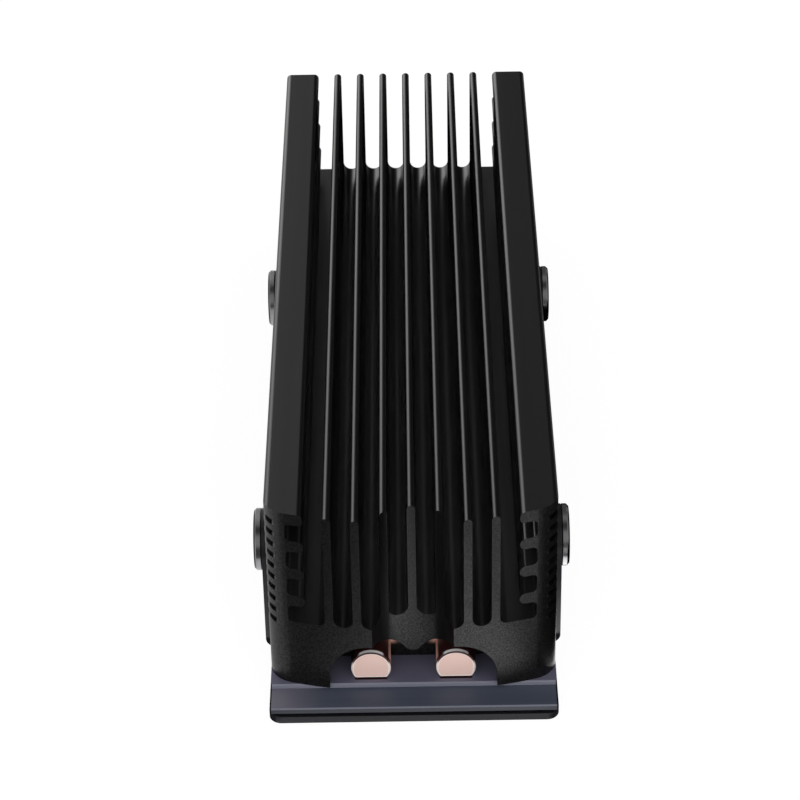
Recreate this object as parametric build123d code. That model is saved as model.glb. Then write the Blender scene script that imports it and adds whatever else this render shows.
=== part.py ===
from build123d import *
import os

# Heat sink for an M.2 2280 drive: an extruded fin block soldered over two heat pipes on a base
# plate, and a bent sheet tray that the block's four side screws hold below it.
# Millimetres. X is the width, +Y runs from the styled front to the rear, +Z is up.
# The origin is the centre of the tray's underside.

# Fin block extrusion
body_width = 23.1
body_length = 73.0
body_height = 17.0
fin_height = 10.65
fin_pitch = 2.2
fin_thickness = 0.67
fin_tip_radius = 0.32
wall_thickness = 3.08
wall_edge_radius = 0.42
least_toothed_gap = 1.2
slot_corner_radius = 0.55

# Teeth on the inner side of each wall
tooth_count = 3
tooth_pitch = 2.71
tooth_thickness = 1.02
tooth_depth = 1.4
first_tooth_height = 2.11
tooth_root_radius = 0.4
lip_thickness = 1.03
lip_radius = 0.35

# Fine round-bottomed grooves along the outer sides
groove_count = 10
groove_pitch = 1.086
groove_width = 0.52
groove_depth = 0.88
groove_lip_radius = 0.14
first_groove_height = 5.97

# Milled front end
front_radius = 33.5
front_corner_radius = 2.35
notch_radius = 3.58
notch_depth = 2.22

# Base plate, with a ledge in front of and behind the platform that the block stands on
base_overhang = 1.36
ledge_thickness = 0.49
platform_step = 0.41
platform_front_inset = 1.155
platform_rear_overhang = 0.3
base_edge_chamfer = 0.1

# Thermal pads
pad_side_margin = 1.5
pad_end_margin = 1.5
lower_pad_thickness = 0.37
upper_pad_thickness = 0.35
pocket_side_gap = 0.2

# Sheet metal tray, as long as the base plate
sheet = 0.63
tray_side_margin = 0.1
tray_corner = 1.0
tab_width = 5.1
tab_inner_bend = 0.2
tab_clearance = 0.03
tab_relief = 0.4

# Heat pipes, round tube pressed flat on its underside
pipe_spacing = 6.85
pipe_radius = 1.6
pipe_centre_height = 0.98
pipe_edge_radius = 0.15
pipe_end_chamfer = 0.12
pipe_front_setback = 0.675
pipe_rear_setback = 1.5
solder_gap = 0.03

# Arched relief round the pipe ends
arch_half_gap = 0.125
arch_height = 4.5
relief_depth = 4.7
wedge_tip_radius = 0.72

# Side screws, in holes that break into the groove behind the lowest tooth
screw_front_setback = 10.9
screw_pitch = 36.7
screw_height = 9.3
head_diameter = 5.1
head_thickness = 0.65
head_edge_chamfer = 0.2
head_back_chamfer = 0.1
shank_diameter = 2.0
shank_reach = 1.55
thread_end_gap = 0.25
recess_width = 2.2
recess_slot = 0.5
recess_depth = 0.35
tab_hole_clearance = 0.15
thread_clearance = 0.03

# Levels and faces that several pieces share
base_bottom = sheet + lower_pad_thickness
ledge_top = base_bottom + ledge_thickness
platform_top = ledge_top + platform_step
body_top = platform_top + body_height
slot_floor = body_top - fin_height
half_width = body_width / 2
half_length = body_length / 2
half_base = half_length + base_overhang
wall_inner = half_width - wall_thickness
tooth_root = wall_inner + tooth_depth
fin_count = int((2 * (wall_inner - least_toothed_gap) - fin_thickness) / fin_pitch) + 1
outer_fin_face = (fin_count - 1) / 2 * fin_pitch + fin_thickness / 2
platform_front = -half_length + platform_front_inset
platform_rear = half_length + platform_rear_overhang
pad_width = body_width - 2 * pad_side_margin
pad_length = body_length - 2 * pad_end_margin
pipe_x = pipe_spacing / 2
pipe_z = platform_top + pipe_centre_height
pipe_front = platform_front + pipe_front_setback
pipe_rear = half_length - pipe_rear_setback
arch_radius = pipe_x - arch_half_gap
relief_back = -half_length + relief_depth
tab_inner = half_width + tab_clearance
tab_outer = tab_inner + sheet
screw_front_y = -half_length + screw_front_setback
screw_rear_y = screw_front_y + screw_pitch
cut_margin = 1.0


def box_between(x0, x1, y0, y1, z0, z1):
    return Pos((x0 + x1) / 2, (y0 + y1) / 2, (z0 + z1) / 2) * Box(x1 - x0, y1 - y0, z1 - z0)


def rectangle_between(u0, u1, v0, v1):
    return Pos((u0 + u1) / 2, (v0 + v1) / 2) * Rectangle(u1 - u0, v1 - v0)


def along_y(section, y0, y1):
    # Sections are drawn with X to the right and Z up, and run from y0 back to y1.
    return extrude(Plane.XZ.offset(-y1) * section, amount=y1 - y0)


def mirrored(shape):
    return shape + mirror(shape, about=Plane.YZ)


def fin_slots():
    # Slots between neighbouring fins, with full-round floors.
    radius = (fin_pitch - fin_thickness) / 2
    slots = Sketch()
    for index in range(fin_count - 1):
        x = (index - (fin_count - 2) / 2) * fin_pitch
        slots += Pos(x, slot_floor + radius) * Circle(radius)
        slots += rectangle_between(x - radius, x + radius, slot_floor + radius, body_top + cut_margin)
    return slots


def toothed_slot():
    # Wide slot between the last fin and the right wall, whose teeth reach into it.
    slot = rectangle_between(outer_fin_face, tooth_root, slot_floor, body_top + cut_margin)
    slot -= rectangle_between(wall_inner, tooth_root, body_top - lip_thickness, body_top + cut_margin)
    for index in range(tooth_count):
        z = slot_floor + first_tooth_height + index * tooth_pitch
        tip_x = wall_inner + tooth_thickness / 2
        slot -= Pos(tip_x, z) * Circle(tooth_thickness / 2)
        slot -= rectangle_between(tip_x, tooth_root, z - tooth_thickness / 2, z + tooth_thickness / 2)
    roots = slot.vertices().filter_by_position(Axis.X, tooth_root - 0.01, tooth_root + 0.01)
    slot = fillet(roots, tooth_root_radius)
    foot = slot.vertices().sort_by(Axis.Y).group_by(Axis.Y)[0].sort_by(Axis.X)[0]
    slot = fillet(foot, slot_corner_radius)
    lip = slot.vertices().filter_by_position(Axis.X, wall_inner - 0.01, wall_inner + 0.01)
    lip = lip.filter_by_position(Axis.Y, body_top - lip_thickness - 0.01, body_top - lip_thickness + 0.01)
    return fillet(lip, lip_radius)


def side_grooves():
    grooves = Sketch()
    radius = groove_width / 2
    bottom_x = half_width - groove_depth + radius
    for index in range(groove_count):
        z = platform_top + first_groove_height + index * groove_pitch
        grooves += Pos(bottom_x, z) * Circle(radius)
        grooves += rectangle_between(bottom_x, half_width + cut_margin, z - radius, z + radius)
    return grooves


def body_section():
    section = rectangle_between(-half_width, half_width, platform_top, body_top)
    section -= fin_slots()
    section -= mirrored(toothed_slot())
    section -= mirrored(side_grooves())
    tops = section.vertices().filter_by_position(Axis.Y, body_top - 0.01, body_top + 0.01)
    tips = [v for v in tops if abs(v.X) < outer_fin_face + 0.01]
    section = fillet(tips, fin_tip_radius)
    tops = section.vertices().filter_by_position(Axis.Y, body_top - 0.01, body_top + 0.01)
    wall_edges = [v for v in tops if abs(v.X) > wall_inner - 0.01]
    section = fillet(wall_edges, wall_edge_radius)
    sides = [v for v in section.vertices() if abs(v.X) > half_width - 0.01]
    lips = [v for v in sides if platform_top + 0.01 < v.Y < body_top - wall_edge_radius - 0.01]
    return fillet(lips, groove_lip_radius)


def front_outline():
    # Plan of the block: gently bowed front, rounded front corners, round notch on the centre line.
    bow = Pos(0, front_radius - half_length) * Circle(front_radius)
    outline = Rectangle(body_width, body_length) & bow
    outline += rectangle_between(-half_width, half_width, front_radius - half_length, half_length)
    corners = [v for v in outline.vertices() if v.Y < 0]
    outline = fillet(corners, front_corner_radius)
    return outline - Pos(0, notch_depth - half_length - notch_radius) * Circle(notch_radius)


def pipe_relief():
    # Two arches over the pipe ends that meet at a rounded wedge on the centre line.
    spring = platform_top + arch_height - arch_radius
    reach = arch_radius + wedge_tip_radius
    tip_rise = (reach ** 2 - pipe_x ** 2) ** 0.5
    share = wedge_tip_radius / reach
    half_tip = pipe_x * share
    arch = Pos(pipe_x, spring) * Circle(arch_radius)
    arch += rectangle_between(pipe_x - arch_radius, pipe_x + arch_radius, platform_top - cut_margin, spring)
    tip = rectangle_between(-half_tip, half_tip, platform_top - cut_margin, spring + tip_rise * (1 - share))
    tip -= Pos(0, spring + tip_rise) * Circle(wedge_tip_radius)
    section = arch + mirror(arch, about=Plane.YZ) + tip
    return along_y(section, -half_length - cut_margin, relief_back)


def pipe_section(radius):
    disc = Pos(pipe_x, pipe_z) * Circle(radius)
    return disc & rectangle_between(pipe_x - radius, pipe_x + radius, platform_top, pipe_z + radius)


def pipe_groove():
    return along_y(pipe_section(pipe_radius + solder_gap), relief_back - cut_margin, half_length + cut_margin)


def screw_places():
    return [Pos(side * tab_outer, y, screw_height) * Rot(0, side * 90, 0)
            for side in (-1, 1) for y in (screw_front_y, screw_rear_y)]


def screw_hole(radius, depth):
    return Pos(0, 0, cut_margin / 2 - depth / 2) * Cylinder(radius, depth + cut_margin)


def fin_block():
    block = along_y(body_section(), -half_length, half_length)
    block &= extrude(front_outline(), amount=body_top + cut_margin)
    block -= pipe_relief()
    block -= mirrored(pipe_groove())
    hole_depth = tab_outer - half_width + shank_reach + thread_end_gap
    for place in screw_places():
        block -= place * screw_hole(shank_diameter / 2 + thread_clearance, hole_depth)
    return block


def base_plate():
    ledge = box_between(-half_width, half_width, -half_base, half_base, base_bottom, ledge_top)
    ledge = chamfer(ledge.faces().sort_by(Axis.Z)[-1].edges(), base_edge_chamfer)
    platform = box_between(-half_width, half_width, platform_front, platform_rear, base_bottom, platform_top)
    ends = platform.faces().sort_by(Axis.Z)[-1].edges().filter_by(Axis.X)
    platform = chamfer(ends, base_edge_chamfer)
    half_pocket_width = pad_width / 2 + pocket_side_gap
    half_pocket_length = pad_length / 2 + pocket_side_gap
    pocket = box_between(-half_pocket_width, half_pocket_width, -half_pocket_length, half_pocket_length,
                         base_bottom - cut_margin, base_bottom + upper_pad_thickness)
    return ledge + platform - pocket


def heat_pipe():
    section = pipe_section(pipe_radius)
    section = fillet(section.vertices(), pipe_edge_radius)
    pipe = along_y(section, pipe_front, pipe_rear)
    ends = pipe.faces().filter_by(Axis.Y)
    return chamfer(ends.edges(), pipe_end_chamfer)


def bent_tab():
    # Section of the right tab, bent up from the floor, then cut to a strip with a round top.
    outer_bend = tab_inner_bend + sheet
    bend_x = tab_outer - outer_bend
    strip = rectangle_between(bend_x - sheet, bend_x, 0, sheet)
    quarter = Pos(bend_x, outer_bend) * (Circle(outer_bend) - Circle(tab_inner_bend))
    strip += quarter & rectangle_between(bend_x, tab_outer, 0, outer_bend)
    strip += rectangle_between(tab_inner, tab_outer, outer_bend, screw_height + tab_width / 2)
    tab = along_y(strip, -tab_width / 2, tab_width / 2)
    side = rectangle_between(-tab_width / 2, tab_width / 2, 0, screw_height)
    side += Pos(0, screw_height) * Circle(tab_width / 2)
    return tab & extrude(Plane.YZ * side, amount=body_width)


def tray():
    outline = Rectangle(body_width + 2 * tray_side_margin, 2 * half_base)
    outline = fillet(outline.vertices(), tray_corner)
    floor = extrude(outline, amount=sheet)
    relief_inner = tab_outer - sheet - tab_inner_bend - tab_relief
    for y in (screw_front_y, screw_rear_y):
        half_slot = tab_width / 2 + tab_relief
        slot = box_between(relief_inner, tab_outer, y - half_slot, y + half_slot, -cut_margin, sheet + cut_margin)
        floor -= mirrored(slot)
        root = box_between(relief_inner - sheet, tab_outer - sheet - tab_inner_bend,
                           y - tab_width / 2, y + tab_width / 2, 0, sheet)
        floor += mirrored(root + Pos(0, y, 0) * bent_tab())
    for place in screw_places():
        floor -= place * screw_hole(shank_diameter / 2 + tab_hole_clearance, sheet + cut_margin / 2)
    return floor


def side_screw():
    # Axis along +Z, with the head standing on the plane z = 0.
    head = Cylinder(head_diameter / 2, head_thickness, align=(Align.CENTER, Align.CENTER, Align.MIN))
    head = chamfer(head.edges().sort_by(Axis.Z)[-1], head_edge_chamfer)
    head = chamfer(head.edges().filter_by(GeomType.CIRCLE).sort_by(Axis.Z)[0], head_back_chamfer)
    shank_length = tab_outer - half_width + shank_reach
    shank = Cylinder(shank_diameter / 2, shank_length, align=(Align.CENTER, Align.CENTER, Align.MAX))
    recess = Rectangle(recess_width, recess_slot) + Rectangle(recess_slot, recess_width)
    return head + shank - Pos(0, 0, head_thickness - recess_depth) * extrude(recess, amount=head_thickness)


def pad(bottom, thickness):
    return Pos(0, 0, bottom) * extrude(Rectangle(pad_width, pad_length), amount=thickness)


right_pipe = heat_pipe()
screw = side_screw()
parts = {
    "fin_block": fin_block(),
    "base_plate": base_plate(),
    "heat_pipe_right": right_pipe,
    "heat_pipe_left": mirror(right_pipe, about=Plane.YZ),
    "tray": tray(),
    "side_screws": Compound(children=[place * screw for place in screw_places()]),
    "upper_pad": pad(base_bottom, upper_pad_thickness),
    "lower_pad": pad(sheet, lower_pad_thickness),
}

os.makedirs("parts", exist_ok=True)
for name, shape in parts.items():
    export_step(shape, f"parts/{name}.step")
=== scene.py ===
from math import pi, radians

import bpy
from mathutils import Matrix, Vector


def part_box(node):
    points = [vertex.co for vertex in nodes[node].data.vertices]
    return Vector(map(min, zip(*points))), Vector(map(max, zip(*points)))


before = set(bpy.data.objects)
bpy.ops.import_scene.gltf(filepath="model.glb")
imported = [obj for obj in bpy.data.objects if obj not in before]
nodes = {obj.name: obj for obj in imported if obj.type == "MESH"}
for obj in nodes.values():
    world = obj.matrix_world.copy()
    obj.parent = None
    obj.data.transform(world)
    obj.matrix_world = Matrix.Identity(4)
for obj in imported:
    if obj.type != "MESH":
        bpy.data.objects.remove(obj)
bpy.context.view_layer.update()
block_low, block_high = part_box("fin_block")
plate_low, plate_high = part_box("base_plate")
pipe_low, pipe_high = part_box("heat_pipe_right")
screw_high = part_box("side_screws")[1]
tray_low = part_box("tray")[0]

# Sizes are in metres. The middle of a pipe's round section and the furthest reach of the
# bowed front follow from the boxes.
PIPE_RADIUS = 0.0016
PLATFORM_STEP = 0.00041
pipe_x = (pipe_low[0] + pipe_high[0]) / 2
pipe_z = pipe_high[2] - PIPE_RADIUS
bow_front = -block_high[1]

# Camera fitted to the photograph, in metres and degrees
CAMERA_PLACE = (0.00043, -0.21539, 0.15369)
CAMERA_PITCH = 34.568
CAMERA_YAW = 0.352
CAMERA_ROLL = -1.084
CAMERA_LENS = 130.75
CAMERA_CLIP_START = 0.01
SENSOR_WIDTH = 36.0


def make_camera():
    data = bpy.data.cameras.new("camera")
    data.sensor_width = SENSOR_WIDTH
    data.lens = CAMERA_LENS
    data.clip_start = CAMERA_CLIP_START
    camera = bpy.data.objects.new("camera", data)
    turn = (Matrix.Rotation(radians(CAMERA_YAW), 4, "Z")
            @ Matrix.Rotation(radians(90 - CAMERA_PITCH), 4, "X")
            @ Matrix.Rotation(radians(CAMERA_ROLL), 4, "Z"))
    camera.matrix_world = Matrix.Translation(CAMERA_PLACE) @ turn
    bpy.context.scene.collection.objects.link(camera)
    bpy.context.scene.camera = camera


# Most of a noise's values lie in this range
NOISE_RANGE = (0.3, 0.7)
# A mix node has several sockets of one name, so the ones for colours go by number
MIX_COLOUR_A = 6
MIX_COLOUR_B = 7
MIX_COLOUR_RESULT = 2


def grey(value):
    return (value, value, value)


class Nodes:
    """Short calls for building a node tree."""

    def __init__(self, tree):
        self.tree = tree

    def add(self, kind, **values):
        node = self.tree.nodes.new(kind)
        for key, value in values.items():
            if hasattr(node, key):
                setattr(node, key, value)
            else:
                node.inputs[key].default_value = value
        return node

    def link(self, source, target):
        self.tree.links.new(source, target)

    def feed(self, target, value):
        """Give the target socket a number, a colour or another socket."""
        if isinstance(value, (int, float)):
            target.default_value = value
        elif isinstance(value, tuple):
            target.default_value = (*value, 1)
        else:
            self.link(value, target)

    def math(self, operation, *values):
        node = self.add("ShaderNodeMath", operation=operation)
        for socket, value in zip(node.inputs, values):
            self.feed(socket, value)
        return node.outputs["Value"]

    def product(self, first, *others):
        result = first
        for value in others:
            result = self.math("MULTIPLY", result, value)
        return result

    def smooth_step(self, value, absent, whole):
        """0 to 1 as the value goes from absent to whole, either way."""
        node = self.add("ShaderNodeMapRange", interpolation_type="SMOOTHSTEP")
        self.link(value, node.inputs["Value"])
        node.inputs["From Min"].default_value = absent
        node.inputs["From Max"].default_value = whole
        return node.outputs["Result"]

    def between(self, value, one_edge, other_edge):
        """1 between two edges, each a pair for smooth_step."""
        return self.product(self.smooth_step(value, *one_edge), self.smooth_step(value, *other_edge))

    def mix(self, factor, low, high):
        """Number low where factor is 0 and high where it is 1; each is a number or a socket."""
        node = self.add("ShaderNodeMix", data_type="FLOAT")
        self.link(factor, node.inputs["Factor"])
        self.feed(node.inputs["A"], low)
        self.feed(node.inputs["B"], high)
        return node.outputs["Result"]

    def blend(self, factor, low, high):
        """Colour low where factor is 0 and high where it is 1; each is a colour or a socket."""
        node = self.add("ShaderNodeMix", data_type="RGBA")
        self.link(factor, node.inputs["Factor"])
        self.feed(node.inputs[MIX_COLOUR_A], low)
        self.feed(node.inputs[MIX_COLOUR_B], high)
        return node.outputs[MIX_COLOUR_RESULT]

    def ramp(self, source, stops):
        """Colour by the source's value, from stops that are each a place and a colour."""
        node = self.add("ShaderNodeValToRGB")
        elements = node.color_ramp.elements
        while len(elements) < len(stops):
            elements.new(0.5)
        for element, (place, colour) in zip(elements, stops):
            element.position = place
            element.color = (*colour, 1)
        self.link(source, node.inputs["Fac"])
        return node.outputs["Color"]

    def tint(self, noise, dark, light):
        """Colour from dark to light as the noise rises."""
        lowest, highest = NOISE_RANGE
        return self.ramp(noise, [(lowest, dark), (highest, light)])

    def noise(self, scale, detail, stretch=(1, 1, 1)):
        """Noise fixed to the part, finer along an axis that has more stretch."""
        mapping = self.add("ShaderNodeMapping")
        mapping.inputs["Scale"].default_value = stretch
        self.link(self.add("ShaderNodeTexCoord").outputs["Object"], mapping.inputs["Vector"])
        node = self.add("ShaderNodeTexNoise", Scale=scale, Detail=detail)
        self.link(mapping.outputs["Vector"], node.inputs["Vector"])
        return node.outputs["Fac"]

    def bump(self, height, strength, distance):
        node = self.add("ShaderNodeBump", Strength=strength, Distance=distance)
        self.link(height, node.inputs["Height"])
        return node.outputs["Normal"]

    def split(self, vector):
        """The X, Y and Z of a vector socket."""
        node = self.add("ShaderNodeSeparateXYZ")
        self.link(vector, node.inputs["Vector"])
        return node.outputs["X"], node.outputs["Y"], node.outputs["Z"]

    def position(self):
        return self.split(self.add("ShaderNodeNewGeometry").outputs["Position"])

    def normal(self):
        return self.split(self.add("ShaderNodeTexCoord").outputs["Normal"])

    def facing(self, axis, absent, whole):
        """0 to 1 as the normal turns towards an axis of the part, such as "-Y"."""
        value = self.normal()["XYZ".index(axis[-1])]
        if axis.startswith("-"):
            value = self.product(value, -1)
        return self.smooth_step(value, absent, whole)

    def inwards(self, x, absent, whole):
        """0 to 1 as the normal turns towards the centre plane of the part."""
        towards = self.product(self.math("SIGN", x), -1)
        return self.smooth_step(self.product(self.normal()[0], towards), absent, whole)

    def rays(self, *kinds):
        """1 where the ray is one of the named kinds."""
        path = self.add("ShaderNodeLightPath")
        total = path.outputs[kinds[0]]
        for kind in kinds[1:]:
            total = self.math("MAXIMUM", total, path.outputs[kind])
        return total


class Material(Nodes):
    """The node tree of a new material."""

    def __init__(self, name):
        self.material = bpy.data.materials.new(name)
        self.material.use_nodes = True
        super().__init__(self.material.node_tree)
        self.shader = self.tree.nodes["Principled BSDF"]

    def give(self, name, value):
        """Give the shader's named socket a number, a colour or another socket."""
        self.feed(self.shader.inputs[name], value)


def from_pipe(n, x, y, z):
    """Distance from the nearer pipe's axis, height above it and distance behind the pipe's end."""
    aside = n.math("SUBTRACT", n.math("ABSOLUTE", x), pipe_x)
    above = n.math("SUBTRACT", z, pipe_z)
    squares = n.math("ADD", n.product(aside, aside), n.product(above, above))
    return n.math("SQRT", squares), above, n.math("SUBTRACT", y, pipe_low[1])


# Specular levels of a plain surface and of one that reflects nothing
PLAIN_GLOSS = 0.5
NO_GLOSS = 0.0

# The black film, darkest and lightest: on the outside, deep in the slots, where it is painted paler
# as painted light, and on the milled front
OUTER_FILM = (grey(0.002), grey(0.0045))
SLOT_PAINTED_LIGHT_FILM = (grey(0.064), grey(0.106))
MILLED_FILM = (grey(0.0015), grey(0.0045))
# Painted shade for the sides of the notch
NOTCH_PAINTED_SHADE = grey(0.0015)
# Painted reflection of the copper pipes on the block
MOUTH_COPPER_REFLECTION = (0.6, 0.33, 0.26)
MILLED_GLOSS = (0.36, 0.66)
NOTCH_GLOSS = 0.15
EXTRUDED_ROUGHNESS = 0.28
MILLED_ROUGHNESS = 0.36
# How much of the bump the drawn streaks have, against 1 for the milled grain
DRAWN_HEIGHT = 0.3
# A turn is how much of the normal's length points along its axis
MILLED_TURN = (0.08, 0.3)
NOTCH_TURN = (0.42, 0.6)
SIDEWAYS_TURN = (0.85, 0.97)
# Where the slots' film is painted paler, as painted light: below the fin tips, then from the front,
# rear and side of the block
SLOT_DEPTH = (0.001, 0.007)
SLOT_FRONT = (-0.001, 0.012)
SLOT_REAR = (0.001, 0.009)
SLOT_SIDE = (0.0008, 0.0014)
DULL_REAR = (0.024, 0.016)
# The painted copper reflection round a pipe's mouth: from the pipe's axis, above it and behind the
# pipe's end
MOUTH_REACH = (0.0024, 0.0017)
MOUTH_ABOVE = (0.0001, 0.0007)
MOUTH_BEHIND = (0.00167, 0.00217)


def black_anodised():
    n = Material("black_anodised")
    x, y, z = n.position()
    from_rear = n.math("SUBTRACT", block_high[1], y)
    from_side = n.math("SUBTRACT", block_high[0], n.math("ABSOLUTE", x))
    inside = n.smooth_step(from_side, *SLOT_SIDE)
    milled = n.facing("-Y", *MILLED_TURN)
    drawn = n.noise(scale=1500, detail=2, stretch=(1, 0.012, 1))
    grain = n.noise(scale=7000, detail=1)
    # Painted light: deep in the slots the film is painted greyer, standing in for light that reaches
    # into them
    slot_painted_light = n.product(n.smooth_step(n.math("SUBTRACT", block_high[2], z), *SLOT_DEPTH),
                     n.smooth_step(n.math("SUBTRACT", y, block_low[1]), *SLOT_FRONT),
                     n.smooth_step(from_rear, *SLOT_REAR),
                     inside)
    extruded = n.blend(slot_painted_light, n.tint(drawn, *OUTER_FILM), n.tint(drawn, *SLOT_PAINTED_LIGHT_FILM))
    # Painted shade: the sides of the notch are painted a deeper black, with less gloss
    notch_shade = n.product(milled, n.inwards(x, *NOTCH_TURN))
    front = n.blend(notch_shade, n.tint(grain, *MILLED_FILM), NOTCH_PAINTED_SHADE)
    # Painted reflection: copper colour is painted on the block round the pipes where they enter it
    reach, above, behind = from_pipe(n, x, y, z)
    mouth_reflection = n.product(n.smooth_step(reach, *MOUTH_REACH),
                      n.smooth_step(behind, *MOUTH_BEHIND),
                      n.smooth_step(above, *MOUTH_ABOVE))
    front = n.blend(mouth_reflection, front, MOUTH_COPPER_REFLECTION)
    n.give("Base Color", n.blend(milled, extruded, front))
    n.give("Roughness", n.mix(milled, EXTRUDED_ROUGHNESS, MILLED_ROUGHNESS))
    # Towards the rear the flanks of the fins and walls are dull
    sideways = n.math("MAXIMUM", n.facing("X", *SIDEWAYS_TURN), n.facing("-X", *SIDEWAYS_TURN))
    dull = n.product(n.smooth_step(from_rear, *DULL_REAR), sideways, inside)
    speckle = n.smooth_step(grain, *NOISE_RANGE)
    front_gloss = n.mix(notch_shade, n.mix(speckle, *MILLED_GLOSS), NOTCH_GLOSS)
    n.give("Specular IOR Level", n.mix(milled, n.mix(dull, PLAIN_GLOSS, NO_GLOSS), front_gloss))
    height = n.mix(milled, n.product(drawn, DRAWN_HEIGHT), grain)
    n.give("Normal", n.bump(height, strength=0.6, distance=0.00002))
    return n.material


# The base plate's film: streaks from dark to light, then single colours
LEDGE_FILM = ((0.043, 0.053, 0.08), (0.06, 0.07, 0.1))
# Painted light: the platform under the arches is painted lighter than the ledge
PLATFORM_FILM_PAINTED_LIGHTER = ((0.085, 0.083, 0.122), (0.1, 0.098, 0.145))
# Painted light on the ledge's left end
LEDGE_LEFT_PAINTED_LIGHT = (0.125, 0.117, 0.15)
# Painted light on the plate's front faces: shade on the upright faces, highlights on the bevels and
# the step
LOWER_FRONT_SHADE = (0.035, 0.038, 0.05)
LOWER_BEVEL_HIGHLIGHT = (0.11, 0.115, 0.15)
STEP_FRONT_HIGHLIGHT = (0.135, 0.14, 0.18)
# Painted shadow at the foot of the pipes
PIPE_FOOT_SHADOW = (0.02, 0.006, 0.005)
# Painted shade on the ledge's side edges
SIDE_EDGE_SHADE = (0.004, 0.004, 0.006)
CLOUD_DEPTH = 0.16
PLATE_ROUGHNESS = (0.5, 0.6)
UPRIGHT_TURN = (0.3, 0.6)
STEEPEST_TURN = (0.8, 0.9)
# Heights above the ledge
STEP_ABOVE = (0.00001, 0.00003)
PLATFORM_ABOVE = (0.00021, 0.00026)
# The painted light at the left end, from the plate's left side
PAINTED_LIGHT_LEFT = (0.00535, -0.00025)
# The painted shade on the side edges, from the plate's side and from the front of the block
EDGE_WIDTH = (0.00013, 0.00005)
EDGE_END = (0.0012, 0.0011)
# The painted shadow line at a pipe's foot: from the pipe's axis, then before and behind the pipe's
# end
FOOT_SHADOW_REACH = (0.00142, 0.00122)
FOOT_SHADOW_BEFORE = (-0.00022, -0.00012)
FOOT_SHADOW_BEHIND = (0.0003, 0.0001)


def grey_anodised():
    n = Material("grey_anodised")
    x, y, z = n.position()
    across = n.math("ABSOLUTE", x)
    above_ledge = n.math("SUBTRACT", z, plate_high[2] - PLATFORM_STEP)
    on_platform = n.smooth_step(above_ledge, *PLATFORM_ABOVE)
    streaks = n.noise(scale=900, detail=3, stretch=(0.03, 1, 1))
    # Painted light: the ledge is painted paler towards its left end, where light falls from the left
    clouds = n.noise(scale=500, detail=2, stretch=(1, 0.3, 1))
    clouds = n.math("MULTIPLY_ADD", clouds, CLOUD_DEPTH, -CLOUD_DEPTH / 2)
    left_painted_light = n.smooth_step(n.math("SUBTRACT", x, plate_low[0]), *PAINTED_LIGHT_LEFT)
    ledge = n.blend(n.math("ADD", left_painted_light, clouds), n.tint(streaks, *LEDGE_FILM), LEDGE_LEFT_PAINTED_LIGHT)
    # The platform's film is painted lighter, as painted light
    tops = n.blend(on_platform, ledge, n.tint(streaks, *PLATFORM_FILM_PAINTED_LIGHTER))
    # Painted light: the front faces are coloured by how they face, the bevels and the step painted
    # as highlights and the upright faces as shade
    fronts = n.blend(n.facing("-Y", *STEEPEST_TURN), LOWER_BEVEL_HIGHLIGHT, LOWER_FRONT_SHADE)
    fronts = n.blend(n.smooth_step(above_ledge, *STEP_ABOVE), fronts, STEP_FRONT_HIGHLIGHT)
    colour = n.blend(n.facing("-Y", *UPRIGHT_TURN), tops, fronts)
    # Painted shadow: a dark line is painted at the foot of each pipe, with no gloss
    from_axis = n.math("ABSOLUTE", n.math("SUBTRACT", across, pipe_x))
    behind = n.math("SUBTRACT", y, pipe_low[1])
    foot_shadow = n.product(n.between(behind, FOOT_SHADOW_BEFORE, FOOT_SHADOW_BEHIND),
                     on_platform,
                     n.smooth_step(from_axis, *FOOT_SHADOW_REACH))
    colour = n.blend(foot_shadow, colour, PIPE_FOOT_SHADOW)
    # Painted shade: the side edges of the ledge are painted dark, with no gloss
    side = n.product(n.smooth_step(n.math("SUBTRACT", plate_high[0], across), *EDGE_WIDTH),
                     n.smooth_step(n.math("SUBTRACT", y, block_low[1]), *EDGE_END))
    n.give("Base Color", n.blend(side, colour, SIDE_EDGE_SHADE))
    n.give("Specular IOR Level", n.mix(n.math("MAXIMUM", side, foot_shadow), PLAIN_GLOSS, NO_GLOSS))
    n.give("Roughness", n.mix(streaks, *PLATE_ROUGHNESS))
    n.give("Normal", n.bump(n.noise(scale=5000, detail=2), strength=0.2, distance=0.000006))
    return n.material


# Copper on the cut end of a pipe, then on its length and on the rim behind the cut, with painted
# highlights and painted shade among them
CUT_COPPER = (0.8, 0.57, 0.51)
CUT_OUTLINE_HIGHLIGHT = (1.0, 0.88, 0.82)
# Painted shade on the pipes' length
COPPER_PAINTED_SHADE = (0.04, 0.009, 0.008)
BRIGHT_COPPER = (0.9, 0.46, 0.37)
# Painted shade under the pipes
UNDERSIDE_SHADE = (0.06, 0.012, 0.01)
# Painted highlight on the rim behind the cut
RIM_HIGHLIGHT = (0.98, 0.86, 0.8)
# Painted shade on the top of the rim
RIM_TOP_SHADE = (0.06, 0.02, 0.018)
# Painted highlight: the pale band on top of a pipe behind the cut, without metal
PAINTED_HIGHLIGHT_BAND = (0.85, 0.82, 0.82)
BARE_METALLIC = 0.25
BAND_METALLIC = 0.0
BRUSHED_ROUGHNESS = (0.34, 0.46)
CUT_TURN = (0.9, 0.95)
INNER_TURN = (0.86, 0.93)
UNDERSIDE_TURN = (0.3, 0.6)
RIM_TOP_TURN = (0.15, 0.35)
BAND_TURN = (0.72, 0.85)
# The painted highlight round the cut: from the axis, and below it at the flat; it fades out above
OUTLINE_REACH = (0.00139, 0.00144)
OUTLINE_BELOW = (-0.00076, -0.0008)
OUTLINE_ABOVE = (0.001, 0.0003)
# Distances behind the cut
RIM_END = (0.00013, 0.00011)
RIM_TOP_START = (0.00002, 0.00004)
BAND_START = (0.00014, 0.00016)
BAND_END = (0.00048, 0.00042)
BRIGHT_START = (0.0004, 0.0007)


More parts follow.
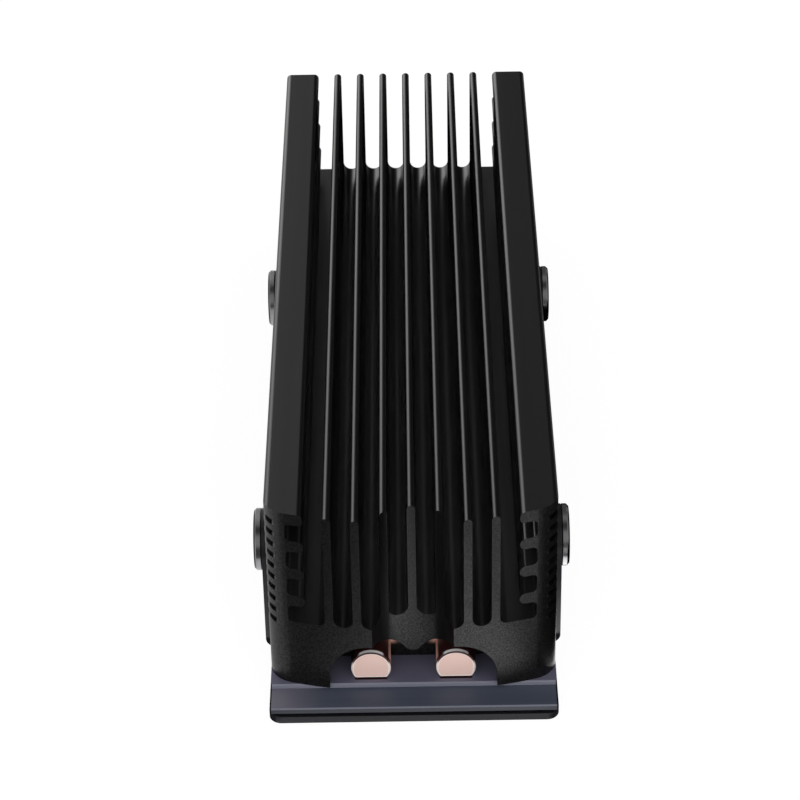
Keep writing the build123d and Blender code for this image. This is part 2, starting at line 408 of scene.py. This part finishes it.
def copper():
    n = Material("copper")
    x, y, z = n.position()
    reach, above, behind = from_pipe(n, x, y, z)
    # Painted highlight: a thin bright line is painted round the cut face, but not over its top
    outline_highlight = n.math("MAXIMUM",
                     n.smooth_step(reach, *OUTLINE_REACH),
                     n.smooth_step(above, *OUTLINE_BELOW))
    outline_highlight = n.product(outline_highlight, n.smooth_step(above, *OUTLINE_ABOVE))
    cut = n.blend(outline_highlight, CUT_COPPER, CUT_OUTLINE_HIGHLIGHT)
    # Painted shade: along the pipes only the sides that face each other keep the bright copper, the
    # rest is painted dark
    inner = n.product(n.inwards(x, *INNER_TURN), n.smooth_step(behind, *BRIGHT_START))
    colour = n.blend(inner, COPPER_PAINTED_SHADE, BRIGHT_COPPER)
    # Painted highlight: the rim just behind the cut is painted pale
    rim_highlight = n.smooth_step(behind, *RIM_END)
    colour = n.blend(rim_highlight, colour, RIM_HIGHLIGHT)
    # Painted shade: the top of the rim is painted dark
    rim_top_shade = n.product(rim_highlight, n.smooth_step(behind, *RIM_TOP_START), n.facing("Z", *RIM_TOP_TURN))
    colour = n.blend(rim_top_shade, colour, RIM_TOP_SHADE)
    # Painted shade: the faces of the pipe that look down are painted dark
    colour = n.blend(n.facing("-Z", *UNDERSIDE_TURN), colour, UNDERSIDE_SHADE)
    # Painted highlight: a pale, unmetallic band on top of each pipe just behind the cut
    highlight_band = n.product(n.between(behind, BAND_START, BAND_END), n.facing("Z", *BAND_TURN))
    colour = n.blend(highlight_band, colour, PAINTED_HIGHLIGHT_BAND)
    n.give("Base Color", n.blend(n.facing("-Y", *CUT_TURN), colour, cut))
    n.give("Metallic", n.mix(highlight_band, BARE_METALLIC, BAND_METALLIC))
    brushed = n.noise(scale=5000, detail=2, stretch=(1, 1, 0.15))
    n.give("Roughness", n.mix(brushed, *BRUSHED_ROUGHNESS))
    n.give("Normal", n.bump(brushed, strength=0.2, distance=0.000006))
    return n.material


STEEL = (0.38, 0.38, 0.39)
DARK_RING_REFLECTION = (0.03, 0.03, 0.03)
TURNED_ROUGHNESS = (0.21, 0.29)
# The painted dark reflection round a screw head's edge, below the head's outer face
RING_TOP = (0.000004, 0.000008)
RING_FOOT = (0.00014, 0.0001)


def screw_steel():
    n = Material("gunmetal")
    x, _, _ = n.position()
    below = n.math("SUBTRACT", screw_high[0], n.math("ABSOLUTE", x))
    # Painted reflection: a dark ring is painted round each head's edge
    n.give("Base Color", n.blend(n.between(below, RING_TOP, RING_FOOT), STEEL, DARK_RING_REFLECTION))
    turned = n.noise(scale=4000, detail=2)
    n.give("Roughness", n.mix(turned, *TURNED_ROUGHNESS))
    n.give("Normal", n.bump(turned, strength=0.15, distance=0.000004))
    n.give("Metallic", 1.0)
    return n.material


# Painted shade: the pads are painted near black, standing in for the shade of the gap between plate
# and tray
PAD_SHADE_MOTTLE = ((0.004, 0.004, 0.007), (0.008, 0.008, 0.013))
PAD_ROUGHNESS = 0.8


def silicone():
    n = Material("pad")
    mottle = n.noise(scale=1500, detail=3)
    n.give("Base Color", n.tint(mottle, *PAD_SHADE_MOTTLE))
    n.give("Roughness", PAD_ROUGHNESS)
    n.give("Normal", n.bump(mottle, strength=0.4, distance=0.00001))
    return n.material


SHEET_POWDER = ((0.009, 0.009, 0.012), (0.013, 0.013, 0.016))
POWDER_ROUGHNESS = (0.31, 0.39)
# The dull corners: from the side of the base plate, and above the tray's underside
CORNER_SIDE = (0.00065, 0.00035)
CORNER_HEIGHT = (0.0012, 0.0008)


def black_sheet():
    n = Material("black_sheet")
    x, _, z = n.position()
    powder = n.noise(scale=3500, detail=2)
    n.give("Base Color", n.tint(powder, *SHEET_POWDER))
    n.give("Roughness", n.mix(powder, *POWDER_ROUGHNESS))
    n.give("Normal", n.bump(powder, strength=0.3, distance=0.000008))
    # The rounded corners and the narrow strip beside the base plate are dull
    from_side = n.math("SUBTRACT", plate_high[0], n.math("ABSOLUTE", x))
    dull = n.product(n.smooth_step(from_side, *CORNER_SIDE),
                     n.smooth_step(n.math("SUBTRACT", z, tray_low[2]), *CORNER_HEIGHT))
    n.give("Specular IOR Level", n.mix(dull, PLAIN_GLOSS, NO_GLOSS))
    return n.material


def paint(material, *names):
    for name in names:
        for slot in nodes[name].material_slots:
            slot.material = material


paint(black_anodised(), "fin_block")
paint(grey_anodised(), "base_plate")
paint(copper(), "heat_pipe_right", "heat_pipe_left")
paint(black_sheet(), "tray")
paint(screw_steel(), "side_screws")
paint(silicone(), "upper_pad", "lower_pad")


# Brightness of the cards lying on the floor, which only gloss and metal see
CARD_FRONT_LEFT = 0.06
CARD_FRONT_RIGHT = 1.55
CARD_FAR_RIGHT = 1.35
CARD_SIDE_LEFT = 0.58
CARD_SIDE_RIGHT = 0.0
CARD_FAR_SIDE = 0.5
CARD_BEFORE_SCREW = 0.09
CARD_NEAR = 0.6
CARD_BESIDE_LEFT = 0.95
CARD_BESIDE_RIGHT = 2.4
# The left cards turn into the right ones over this stretch
RIGHT_START = (-0.016, 0.013)
# A flank card starts behind a line that runs outwards from the block's front corner
CORNER_INSET = 0.00145
LEFT_SLOPE = 0.577
RIGHT_SLOPE = 0.9
LEFT_FLANK = (-0.002, 0.002)
RIGHT_FLANK = (-0.0031, -0.0001)
# Edges behind the furthest reach of the bowed front
FAR_RIGHT_START = (-0.0075, -0.0135)
SCREW_LINE_START = (-0.0025, -0.0055)
SCREW_LINE_SPREAD = (-0.0245, -0.0295)
LEFT_STRIP_START = (-0.0025, -0.0005)
RIGHT_STRIP_START = (0.0005, 0.0035)
RIGHT_STRIP_END = (0.0145, 0.0115)
NEAR_START = (-0.0031, -0.0024)
NEAR_END = (-0.0005, -0.0011)
# Edges beside the block
SCREW_LINE_INNER = (0.00045, 0.00105)
SCREW_LINE_OUTER = (0.00425, 0.00345)
STRIP_OUTER = (0.00225, 0.00185)
NEAR_OUTER = (-0.00025, -0.00085)
FAR_SIDE_START = (0.03045, 0.04845)


def floor_cards(n):
    x, y, _ = n.position()
    behind = n.math("SUBTRACT", y, bow_front)
    beside = n.math("SUBTRACT", n.math("ABSOLUTE", x), block_high[0])
    past_corner = n.math("ADD", beside, CORNER_INSET)
    left_line = n.math("MULTIPLY_ADD", past_corner, LEFT_SLOPE, behind)
    right_line = n.math("MULTIPLY_ADD", past_corner, RIGHT_SLOPE, behind)
    left = n.mix(n.smooth_step(left_line, *LEFT_FLANK), CARD_FRONT_LEFT, CARD_SIDE_LEFT)
    right = n.mix(n.smooth_step(behind, *FAR_RIGHT_START), CARD_FRONT_RIGHT, CARD_FAR_RIGHT)
    # A dark card in line with the right screws, which takes the whole width far from the object
    screw_line = n.product(n.between(beside, SCREW_LINE_INNER, SCREW_LINE_OUTER),
                           n.smooth_step(behind, *SCREW_LINE_START))
    screw_line = n.math("MAXIMUM", screw_line, n.smooth_step(behind, *SCREW_LINE_SPREAD))
    right = n.mix(screw_line, right, CARD_BEFORE_SCREW)
    right = n.mix(n.smooth_step(right_line, *RIGHT_FLANK), right, CARD_SIDE_RIGHT)
    right = n.mix(n.smooth_step(beside, *FAR_SIDE_START), right, CARD_FAR_SIDE)
    # A narrow strip beside the block, that the screw heads reflect
    strip = n.smooth_step(beside, *STRIP_OUTER)
    left_strip = n.product(strip, n.smooth_step(behind, *LEFT_STRIP_START))
    left = n.mix(left_strip, left, CARD_BESIDE_LEFT)
    right_strip = n.product(strip, n.between(behind, RIGHT_STRIP_START, RIGHT_STRIP_END))
    right = n.mix(right_strip, right, CARD_BESIDE_RIGHT)
    card = n.mix(n.smooth_step(x, *RIGHT_START), left, right)
    # A card just before the tray
    near = n.product(n.between(behind, NEAR_START, NEAR_END), n.smooth_step(beside, *NEAR_OUTER))
    return n.mix(near, card, CARD_NEAR)


# The floor, a little below the tray so that the two faces stay apart. The camera sees it white
# by its glow and a weak shade, and diffuse light bounces off it.
FLOOR_SIZE = 4
FLOOR_GAP = 0.00002
FLOOR_GLOW = 0.925
FLOOR_SHADE = 0.12
FLOOR_BOUNCE = 0.8


def make_floor():
    bpy.ops.mesh.primitive_plane_add(size=FLOOR_SIZE, location=(0, 0, tray_low[2] - FLOOR_GAP))
    floor = bpy.context.object
    floor.name = "floor"
    n = Material("floor")
    camera = n.rays("Is Camera Ray")
    glossy = n.rays("Is Glossy Ray", "Is Transmission Ray")
    glow = n.add("ShaderNodeEmission")
    strength = n.math("ADD", n.product(floor_cards(n), glossy), n.product(camera, FLOOR_GLOW))
    n.link(strength, glow.inputs["Strength"])
    shade = n.add("ShaderNodeBsdfDiffuse")
    albedo = n.product(n.mix(camera, FLOOR_BOUNCE, FLOOR_SHADE), n.math("SUBTRACT", 1.0, glossy))
    n.link(albedo, shade.inputs["Color"])
    both = n.add("ShaderNodeAddShader")
    n.link(shade.outputs["BSDF"], both.inputs[0])
    n.link(glow.outputs["Emission"], both.inputs[1])
    n.link(both.outputs["Shader"], n.tree.nodes["Material Output"].inputs["Surface"])
    n.tree.nodes.remove(n.shader)
    n.material.cycles.emission_sampling = "NONE"
    floor.data.materials.append(n.material)


# What gloss and metal see of the studio: in front from the horizon (0) to overhead (0.5), and
# behind the object from its left (0) over straight back (0.5) to its right (1)
FRONT_STOPS = [(0.0, 0.06), (0.02, 0.15), (0.06, 0.38), (0.24, 0.38),
               (0.33, 0.06), (0.43, 0.06), (0.53, 0.3), (0.62, 0.3)]
BACK_STOPS = [(0.0, 0.3), (0.2, 0.5), (0.28, 2.2), (0.38, 2.2), (0.44, 0.75),
              (0.478, 0.165), (0.522, 0.125), (0.58, 0.03), (0.8, 0.03), (1.0, 0.4)]
BACK_START = (0.58, 0.68)
# What diffuse light sees of it: one level all round, and more from low in front
PLAIN_LEVEL = 0.55
FRONT_LEVEL = 2.5
FRONT_POWER = 2


def make_world():
    world = bpy.data.worlds.new("studio")
    bpy.context.scene.world = world
    world.use_nodes = True
    world.cycles.sampling_method = "NONE"
    n = Nodes(world.node_tree)
    x, y, z = n.split(n.add("ShaderNodeTexCoord").outputs["Generated"])
    front = n.product(y, -1)
    turn = n.math("DIVIDE", n.math("ARCTAN2", z, front), pi)
    before = n.ramp(turn, [(place, grey(level)) for place, level in FRONT_STOPS])
    across = n.math("MULTIPLY_ADD", x, 0.5, 0.5)
    behind = n.ramp(across, [(place, grey(level)) for place, level in BACK_STOPS])
    gloss = n.mix(n.smooth_step(turn, *BACK_START), before, behind)
    low_front = n.math("POWER", n.math("MAXIMUM", front, 0.0), FRONT_POWER)
    soft = n.math("MULTIPLY_ADD", low_front, FRONT_LEVEL, PLAIN_LEVEL)
    lit = n.mix(n.rays("Is Glossy Ray", "Is Transmission Ray"), soft, gloss)
    background = n.tree.nodes["Background"]
    background.inputs["Color"].default_value = (1, 1, 1, 1)
    n.link(n.mix(n.rays("Is Camera Ray"), lit, 1.0), background.inputs["Strength"])


make_floor()
make_world()
make_camera()
bpy.context.scene.view_settings.view_transform = "Standard"
